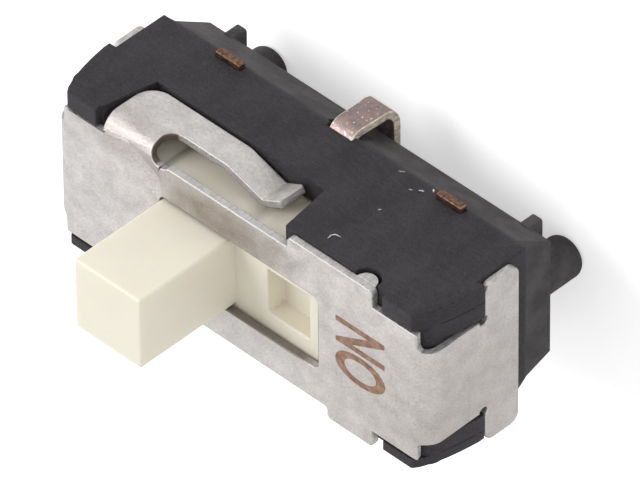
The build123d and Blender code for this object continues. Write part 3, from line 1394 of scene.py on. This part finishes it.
@dataclass
class Slider:
    """Knob and carriage, moulded in one."""

    middle: float = -1.0
    knob: Range = (1.50, 1.48)
    knob_edge: float = 0.05
    knob_root: float = 0.3
    edge: float = 0.03
    length: float = 5.66
    width: float = 2.48
    low: float = 1.51
    high: float = 3.31
    pocket: tuple[float, float, float] = (0.95, 0.94, 0.40)
    pocket_x: float = 1.95
    notch: Range = (0.24, 0.10)
    notch_x: float = 1.0
    seat: tuple[float, float, float] = (1.40, 0.60, 0.25)
    stake: float = 0.13
    stake_x: float = 0.25
    stake_low: float = 1.60

    def build(self, cream: Finish) -> bpy.types.Object:
        """Makes the slider.

        Args:
            cream: Finish of the moulding.

        Returns:
            The finished piece.
        """
        m, half, w = self.middle, self.length / 2, self.width / 2
        carriage = block((m - half, -w, self.low), (m + half, w, self.high))
        obj = to_object("slider_moulding", carriage)
        a, b, depth = self.pocket
        seat_x, seat_y, seat_depth = self.seat
        for side in (-1, 1):
            x = m + side * self.pocket_x
            tool = block((x - a / 2, -b / 2, self.high - depth), (x + a / 2, b / 2, self.high + 1))
            combine(obj, tool, Cut.REMOVE)
            x = m + side * self.notch_x
            run, deep = self.notch
            wedge = [(x - 1.5 * run, w + deep / 2), (x, w - deep), (x + 1.5 * run, w + deep / 2)]
            combine(obj, prism(wedge, Axis.Z, self.low - 1, self.high + 1), Cut.REMOVE)
        ceiling = self.low + seat_depth
        tool = block((m - seat_x, -seat_y, self.low - 1), (m + seat_x, seat_y, ceiling))
        combine(obj, tool, Cut.REMOVE)
        for side in (-1, 1):
            peg = arc((m + side * self.stake_x, 0), self.stake, 0, 345, math.radians(15))
            combine(obj, prism(peg, Axis.Z, self.stake_low, ceiling + 0.1), Cut.ADD)
        soften(obj, self.edge)
        a, b = self.knob
        top = span_of("slider")[1].z
        root = self.high - self.knob_root
        knob = to_object("knob", block((m - a / 2, -b / 2, root), (m + a / 2, b / 2, top)))
        soften(knob, self.knob_edge, 5)
        combine(obj, take_mesh(knob), Cut.ADD)
        return finish_piece(obj, [cream], Seat("slide", "knob_plastic", ("slider",)))


class Tree:
    """A Geometry Nodes tree that is built in code, with named inputs."""

    def __init__(self, name: str) -> None:
        """Starts a tree with its output.

        Args:
            name: Name of the tree.
        """
        self.group = bpy.data.node_groups.new(name, "GeometryNodeTree")
        face = self.group.interface
        for way in ("INPUT", "OUTPUT"):
            face.new_socket("Geometry", in_out=way, socket_type="NodeSocketGeometry")
        self.entry = self.group.nodes.new("NodeGroupInput")
        self.exit = self.group.nodes.new("NodeGroupOutput")

    def input(self, name: str, kind: str) -> Socket:
        """Adds a named input and gives its socket inside the tree."""
        self.group.interface.new_socket(name, in_out="INPUT", socket_type=kind)
        return self.entry.outputs[name]

    def lengths(self, *names: str) -> list[Socket]:
        """Adds named inputs that are lengths."""
        return [self.input(name, "NodeSocketFloat") for name in names]

    def node(
        self, kind: str, *links: tuple[str | int, object], **settings: object
    ) -> bpy.types.Node:
        """Adds a node.

        Args:
            kind: Its type.
            links: Its inputs, each a name or place with a socket or value.
            settings: Its own settings.

        Returns:
            The node.
        """
        node = self.group.nodes.new(kind)
        for key, value in settings.items():
            setattr(node, key, value)
        for name, value in links:
            socket = node.inputs[name]
            if isinstance(value, Socket):
                self.group.links.new(value, socket)
            else:
                socket.default_value = value
        return node

    def math(self, how: str, a: object, b: object = 0.0) -> Socket:
        """Does one step of arithmetic on two numbers or sockets."""
        return self.node("ShaderNodeMath", (0, a), (1, b), operation=how).outputs[0]

    def along(self, axis: Axis, value: Socket) -> Socket:
        """Makes a vector along an axis."""
        return self.node("ShaderNodeCombineXYZ", (axis.name, value)).outputs[0]

    def repeat(self, shape: Socket, places: Socket, finish: Socket) -> None:
        """Puts a shape at each place, makes the copies real, and ends the tree there.

        Args:
            shape: The shape.
            places: The places, as points.
            finish: The material of every copy.
        """
        row = self.node("GeometryNodeInstanceOnPoints", ("Points", places), ("Instance", shape))
        real = self.node("GeometryNodeRealizeInstances", ("Geometry", row.outputs[0]))
        done = self.node(
            "GeometryNodeSetMaterial", ("Geometry", real.outputs[0]), ("Material", finish)
        )
        self.group.links.new(done.outputs[0], self.exit.inputs[0])

    def run(self, name: str, **values: object) -> bmesh.types.BMesh:
        """Runs the tree on an empty object.

        Args:
            name: Name of the object that carries it for the moment.
            values: The inputs, with underscores for spaces.

        Returns:
            The mesh that it makes.
        """
        obj = to_object(name, bmesh.new())
        step = obj.modifiers.new(name, "NODES")
        step.node_group = self.group
        sockets = self.group.interface.items_tree
        names = {s.name: s.identifier for s in sockets if s.in_out == "INPUT"}
        for key, value in values.items():
            step[names[key.replace("_", " ")]] = value
        settle(obj)
        bm = take_mesh(obj)
        bmesh.ops.remove_doubles(bm, verts=bm.verts, dist=MERGE)
        bmesh.ops.recalc_face_normals(bm, faces=bm.faces)
        return bm


def peg_tree() -> Tree:
    """Describes the two pegs: a round profile swept along Z, narrowed to a rounded tip.

    Returns:
        The tree.
    """
    t = Tree("pegs")
    pitch, radius, length, tip, root = t.lengths("Pitch", "Radius", "Length", "Tip", "Root")
    finish = t.input("Finish", "NodeSocketMaterial")
    low = t.math("MULTIPLY", length, -1.0)
    top, end = t.along(Axis.Z, root), t.along(Axis.Z, low)
    line = t.node("GeometryNodeCurvePrimitiveLine", ("Start", top), ("End", end)).outputs[0]
    steps = t.node("GeometryNodeResampleCurve", ("Curve", line), ("Count", 60)).outputs[0]
    spot = t.node("GeometryNodeInputPosition").outputs[0]
    height = t.node("ShaderNodeSeparateXYZ", (0, spot)).outputs["Z"]
    above = t.math("SUBTRACT", height, low)
    into = t.math("MAXIMUM", t.math("SUBTRACT", tip, above), 0.0)
    square = t.math("SUBTRACT", t.math("MULTIPLY", tip, tip), t.math("MULTIPLY", into, into))
    rise = t.math("SQRT", t.math("MAXIMUM", square, 0.0))
    girth = t.math("ADD", t.math("SUBTRACT", radius, tip), rise)
    ring = t.node(
        "GeometryNodeCurvePrimitiveCircle", ("Resolution", 64), ("Radius", 1.0)
    ).outputs[0]
    peg = t.node(
        "GeometryNodeCurveToMesh", ("Curve", steps), ("Profile Curve", ring), ("Scale", girth),
        ("Fill Caps", True),
    ).outputs[0]
    start = t.along(Axis.X, t.math("MULTIPLY", pitch, -0.5))
    places = t.node(
        "GeometryNodeMeshLine", ("Count", 2), ("Start Location", start),
        ("Offset", t.along(Axis.X, pitch)),
    ).outputs[0]
    t.repeat(peg, places, finish)
    return t


def standoff_tree() -> Tree:
    """Describes the four standoffs: a rounded bar swept along Z at each point of a grid.

    Returns:
        The tree.
    """
    t = Tree("standoffs")
    pitch, spread, length, width = t.lengths("Pitch", "Spread", "Length", "Width")
    corner, root = t.lengths("Corner", "Root")
    finish = t.input("Finish", "NodeSocketMaterial")
    bar = t.node(
        "GeometryNodeCurvePrimitiveQuadrilateral", ("Width", width), ("Height", length)
    ).outputs[0]
    bar = t.node(
        "GeometryNodeFilletCurve", ("Curve", bar), ("Count", 5), ("Radius", corner), mode="POLY"
    ).outputs[0]
    line = t.node(
        "GeometryNodeCurvePrimitiveLine", ("Start", t.along(Axis.Z, root)), ("End", (0, 0, 0))
    ).outputs[0]
    foot = t.node(
        "GeometryNodeCurveToMesh", ("Curve", line), ("Profile Curve", bar), ("Fill Caps", True)
    ).outputs[0]
    grid = t.node(
        "GeometryNodeMeshGrid", ("Size X", pitch), ("Size Y", spread),
        ("Vertices X", 2), ("Vertices Y", 2),
    ).outputs[0]
    t.repeat(foot, grid, finish)
    return t


@dataclass
class Housing:
    """The moulded base with its corner blocks, pegs and standoffs.

    The crown is the outline, in X and Z, of what rounds the outer end of a corner
    block. Each of its spans is where it starts and ends along Y, and how high it goes.
    """

    peg_radius: float = 0.39
    peg_pitch: float = 6.70
    peg_length: float = 0.74
    peg_tip: float = 0.16
    underside: float = 0.23
    standoff: Range = (0.40, 0.24)
    standoff_corner: float = 0.06
    standoff_spread: float = 2.16
    sunk: float = 0.1
    edge: float = 0.02
    edge_over: float = 50
    flat_within: float = 0.6
    crown: tuple[Point, ...] = (
        (3.80, 3.497), (3.895, 3.497), (3.965, 3.400), (4.030, 3.250), (4.085, 3.10), (4.135, 2.92),
        (4.190, 2.67), (4.230, 2.42), (4.247, 2.28), (4.247, 2.165), (3.95, 2.165), (3.80, 2.30),
    )
    crown_spans: tuple[Spot, ...] = (
        (-1.40, -1.06, 3.10), (1.06, 1.40, 3.10), (-1.597, -1.40, 3.5), (1.40, 1.747, 3.5),
    )

    def body(self) -> bpy.types.Object:
        """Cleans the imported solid's mesh and cuts it off at its underside.

        Returns:
            The base without pegs and standoffs, in millimetres.
        """
        bm = bmesh.new()
        bm.from_mesh(frame["nodes"]["housing"].data)
        bm.transform(Matrix.Scale(1 / MM, 4))
        bmesh.ops.remove_doubles(bm, verts=bm.verts, dist=2e-4)
        low = [v for v in bm.verts if v.co.z < self.underside - 0.001]
        bmesh.ops.delete(bm, geom=low, context="VERTS")
        bmesh.ops.holes_fill(bm, edges=[e for e in bm.edges if e.is_boundary], sides=0)
        bmesh.ops.dissolve_limit(
            bm, angle_limit=math.radians(self.flat_within), verts=bm.verts, edges=bm.edges,
            use_dissolve_boundaries=False,
        )
        bmesh.ops.recalc_face_normals(bm, faces=bm.faces)
        return to_object("base_moulding", bm)

    def build(self, black: Finish) -> bpy.types.Object:
        """Makes the base.

        Args:
            black: Finish of the moulding.

        Returns:
            The finished piece.
        """
        obj = self.body()
        length, width = self.standoff
        root = self.underside + self.sunk
        tool = standoff_tree().run(
            "standoffs", Pitch=self.peg_pitch, Spread=self.standoff_spread, Length=length,
            Width=width, Corner=self.standoff_corner, Root=root, Finish=black,
        )
        combine(obj, tool, Cut.ADD)
        soften(obj, self.edge, over=self.edge_over)
        tool = peg_tree().run(
            "pegs", Pitch=self.peg_pitch, Radius=self.peg_radius, Length=self.peg_length,
            Tip=self.peg_tip, Root=root, Finish=black,
        )
        combine(obj, tool, Cut.ADD)
        for side in (-1, 1):
            for low, high, top in self.crown_spans:
                line = [(side * x, z) for x, z in self.crown if z <= top]
                crown = to_object("crown", prism(line, Axis.Y, low, high))
                soften(crown, self.edge, over=self.edge_over)
                add_shell(obj, crown)
        return finish_piece(obj, [black], Seat("case", "moulded_base", ("housing",)))


@dataclass
class Mark:
    """A plain two-letter mark on the cover's face."""

    text: str = "ON"
    low: Point = (2.19, -0.53)
    high: Point = (3.31, 0.71)
    face: float = 3.5
    proud: float = 0.003
    bold: float = 0.022

    def build(self, brown: Finish) -> bpy.types.Object:
        """Makes the mark.

        Args:
            brown: Its finish.

        Returns:
            The finished piece.
        """
        curve = bpy.data.curves.new("mark", "FONT")
        curve.body = self.text
        curve.extrude = self.proud
        curve.offset = self.bold
        curve.resolution_u = 6
        maker = bpy.data.objects.new("mark_text", curve)
        bpy.context.scene.collection.objects.link(maker)
        bpy.context.view_layer.update()
        bm = bmesh.new()
        bm.from_mesh(maker.to_mesh())
        bpy.data.objects.remove(maker)
        bmesh.ops.remove_doubles(bm, verts=bm.verts, dist=MERGE)
        xs, ys = [v.co.x for v in bm.verts], [v.co.y for v in bm.verts]
        wide, tall = max(xs) - min(xs), max(ys) - min(ys)
        for v in bm.verts:
            along, up = (v.co.x - min(xs)) / wide, (v.co.y - min(ys)) / tall
            v.co.x, v.co.y = (
                self.high[0] + (self.low[0] - self.high[0]) * up,
                self.low[1] + (self.high[1] - self.low[1]) * along,
            )
            v.co.z += self.face
        bmesh.ops.recalc_face_normals(bm, faces=bm.faces)
        return finish_piece(to_object("face_mark", bm), [brown], Seat("case", "cover_steel"))


@dataclass
class Flakes:
    """Pale flecks and scratches that handling left on the flank of the base.

    Each streak is a run of places along X and Z, with its half width at each.
    """

    flank: float = 1.75
    proud: float = 0.004
    streaks: tuple[tuple[Spot, ...], ...] = (
        ((2.055, 1.080, 0.006), (2.080, 1.100, 0.018), (2.110, 1.135, 0.006)),
        ((1.770, 1.358, 0.006), (1.799, 1.343, 0.016), (1.835, 1.330, 0.004)),
        ((1.905, 1.262, 0.005), (1.944, 1.237, 0.018), (1.985, 1.225, 0.005)),
        ((1.760, 2.060, 0.004), (1.774, 2.034, 0.014), (1.785, 2.010, 0.004)),
        (
            (1.655, 3.112, 0.003), (1.639, 3.011, 0.010), (1.673, 2.955, 0.012),
            (1.779, 2.936, 0.004),
        ),
        ((1.340, 1.150, 0.003), (1.387, 1.137, 0.012), (1.430, 1.095, 0.004)),
    )

    def build(self, pale: Finish) -> bpy.types.Object:
        """Makes the flecks.

        Args:
            pale: Their finish.

        Returns:
            The finished piece.
        """
        low, high = self.flank - self.proud, self.flank + self.proud
        obj = to_object("pale_flecks", bmesh.new())
        for streak in self.streaks:
            spine = [Vector(p[:2]) for p in streak]
            upper: Loop = []
            lower: Loop = []
            for i, point in enumerate(spine):
                run = (spine[min(i + 1, len(spine) - 1)] - spine[max(i - 1, 0)]).normalized()
                side = Vector((-run.y, run.x)) * streak[i][2]
                upper.append(tuple(point + side))
                lower.append(tuple(point - side))
            add_shell(obj, to_object("fleck", prism(upper + lower[::-1], Axis.Y, low, high)))
        return finish_piece(obj, [pale], Seat("case", "moulded_base"))


# Floor, lights and camera


def clear_start() -> None:
    """Removes what a new Blender scene holds besides the frame."""
    for obj in list(bpy.data.objects):
        if obj.name in ("Cube", "Light", "Camera"):
            bpy.data.objects.remove(obj)


def add_floor(level: float, size: float = 400.0, lift: float = 0.45) -> None:
    """Lays a plain pale floor under the pegs.

    Args:
        level: Its height in millimetres.
        size: Its side.
        lift: How much brighter the camera sees it than the lamps make it.
    """
    bm = bmesh.new()
    bmesh.ops.create_grid(bm, x_segments=1, y_segments=1, size=size / 2)
    bmesh.ops.translate(bm, verts=bm.verts, vec=(0, 0, level))
    bmesh.ops.scale(bm, verts=bm.verts, vec=(MM,) * 3)
    obj = to_object("floor", bm)
    pale = bpy.data.materials.new("pale_floor")
    pale.use_nodes = True
    tree = pale.node_tree
    surface = tree.nodes["Principled BSDF"]
    surface.inputs["Base Color"].default_value = (0.93, 0.93, 0.93, 1)
    surface.inputs["Roughness"].default_value = 1.0
    surface.inputs["Specular IOR Level"].default_value = 0.0
    surface.inputs["Emission Color"].default_value = WHITE
    seen = tree.nodes.new("ShaderNodeLightPath")
    glow = tree.nodes.new("ShaderNodeMath")
    glow.operation = "MULTIPLY"
    glow.inputs[1].default_value = lift
    tree.links.new(seen.outputs["Is Camera Ray"], glow.inputs[0])
    tree.links.new(glow.outputs[0], surface.inputs["Emission Strength"])
    obj.data.materials.append(pale)


def add_sun(name: str, towards: Sequence[float], strength: float, spread: float) -> None:
    """Adds a soft sun.

    Args:
        name: Its name.
        towards: Direction from the object to the light.
        strength: Its irradiance.
        spread: Its angular size in degrees.
    """
    light = bpy.data.lights.new(name, "SUN")
    light.energy = strength
    light.angle = math.radians(spread)
    obj = bpy.data.objects.new(name, light)
    obj.rotation_euler = Vector(towards).to_track_quat("Z", "Y").to_euler()
    bpy.context.scene.collection.objects.link(obj)


def add_world(ambient: float) -> None:
    """Makes the surroundings: dim white light that the camera and reflections see as white.

    Args:
        ambient: Strength of its light.
    """
    world = bpy.data.worlds.new("surroundings")
    world.use_nodes = True
    bpy.context.scene.world = world
    tree = world.node_tree
    back = tree.nodes["Background"]
    back.inputs["Color"].default_value = WHITE
    seen = tree.nodes.new("ShaderNodeLightPath")
    either = tree.nodes.new("ShaderNodeMath")
    either.operation = "MAXIMUM"
    tree.links.new(seen.outputs["Is Camera Ray"], either.inputs[0])
    tree.links.new(seen.outputs["Is Glossy Ray"], either.inputs[1])
    level = tree.nodes.new("ShaderNodeMapRange")
    level.inputs["To Min"].default_value = ambient
    level.inputs["To Max"].default_value = 1.0
    tree.links.new(either.outputs[0], level.inputs["Value"])
    tree.links.new(level.outputs[0], back.inputs["Strength"])


def add_camera() -> None:
    """Puts the camera where the photograph was taken from."""
    right, up = Vector((0.7149, -0.0075, -0.6992)), Vector((-0.4659, 0.7406, -0.4842))
    back = Vector((0.52146, 0.67191, 0.52596))
    lens = bpy.data.cameras.new("camera")
    lens.lens = 686.5
    lens.sensor_width = 36
    lens.clip_start = 0.001
    obj = bpy.data.objects.new("camera", lens)
    turn = Matrix((right, up, back)).transposed().to_4x4()
    obj.matrix_world = Matrix.Translation((0.103656, 0.133261, 0.106170)) @ turn
    bpy.context.scene.collection.objects.link(obj)
    bpy.context.scene.camera = obj


def main() -> None:
    """Builds the switch, the floor, the lights and the camera."""
    logging.basicConfig(level=logging.INFO, format="%(message)s")
    clear_start()
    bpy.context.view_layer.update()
    steel, cut = SheetSteel().build(), CutSteel().build()
    tin, bare = TinnedCopper().build(), BareCopper().build()
    black = BlackMoulding().build()
    Cover().build(steel, cut)
    Housing().build(black)
    Slider().build(CreamMoulding().build())
    MovingContact().build(tin, bare)
    sheared = BareCopper("sheared_brass", (0.42, 0.35, 0.27), (0.86, 0.78, 0.64), 0.3).build()
    hooked = Lead(
        "common_terminal", 0.0, (-0.50, 0.50), side=1, flank=1.60,
        leg=(0.22, 0.28, 0.20, 0.33), foot_radius=0.33,
    )
    hooked.build(tin, sheared)
    dull = TinnedCopper("dull_copper", (0.10, 0.080, 0.075), (0.22, 0.135, 0.105), 0.0).build()
    Lead("left_terminal", -2.50, (-2.86, -1.30), side=-1, flank=1.75).build(dull, bare)
    Lead("right_terminal", 2.50, (1.30, 2.86), side=-1, flank=1.75).build(dull, bare)
    Mark().build(BurntMark().build())
    Flakes().build(PaleDust().build())
    add_floor(span_of("housing")[0].z)
    add_world(ambient=0.60)
    add_sun("key", (-0.50, 0.42, 0.75), strength=1.70, spread=40)
    add_sun("fill", (0.80, 0.35, 0.45), strength=0.45, spread=60)
    add_camera()
    bpy.context.scene.view_settings.view_transform = "Standard"


if __name__ == "__main__":
    main()
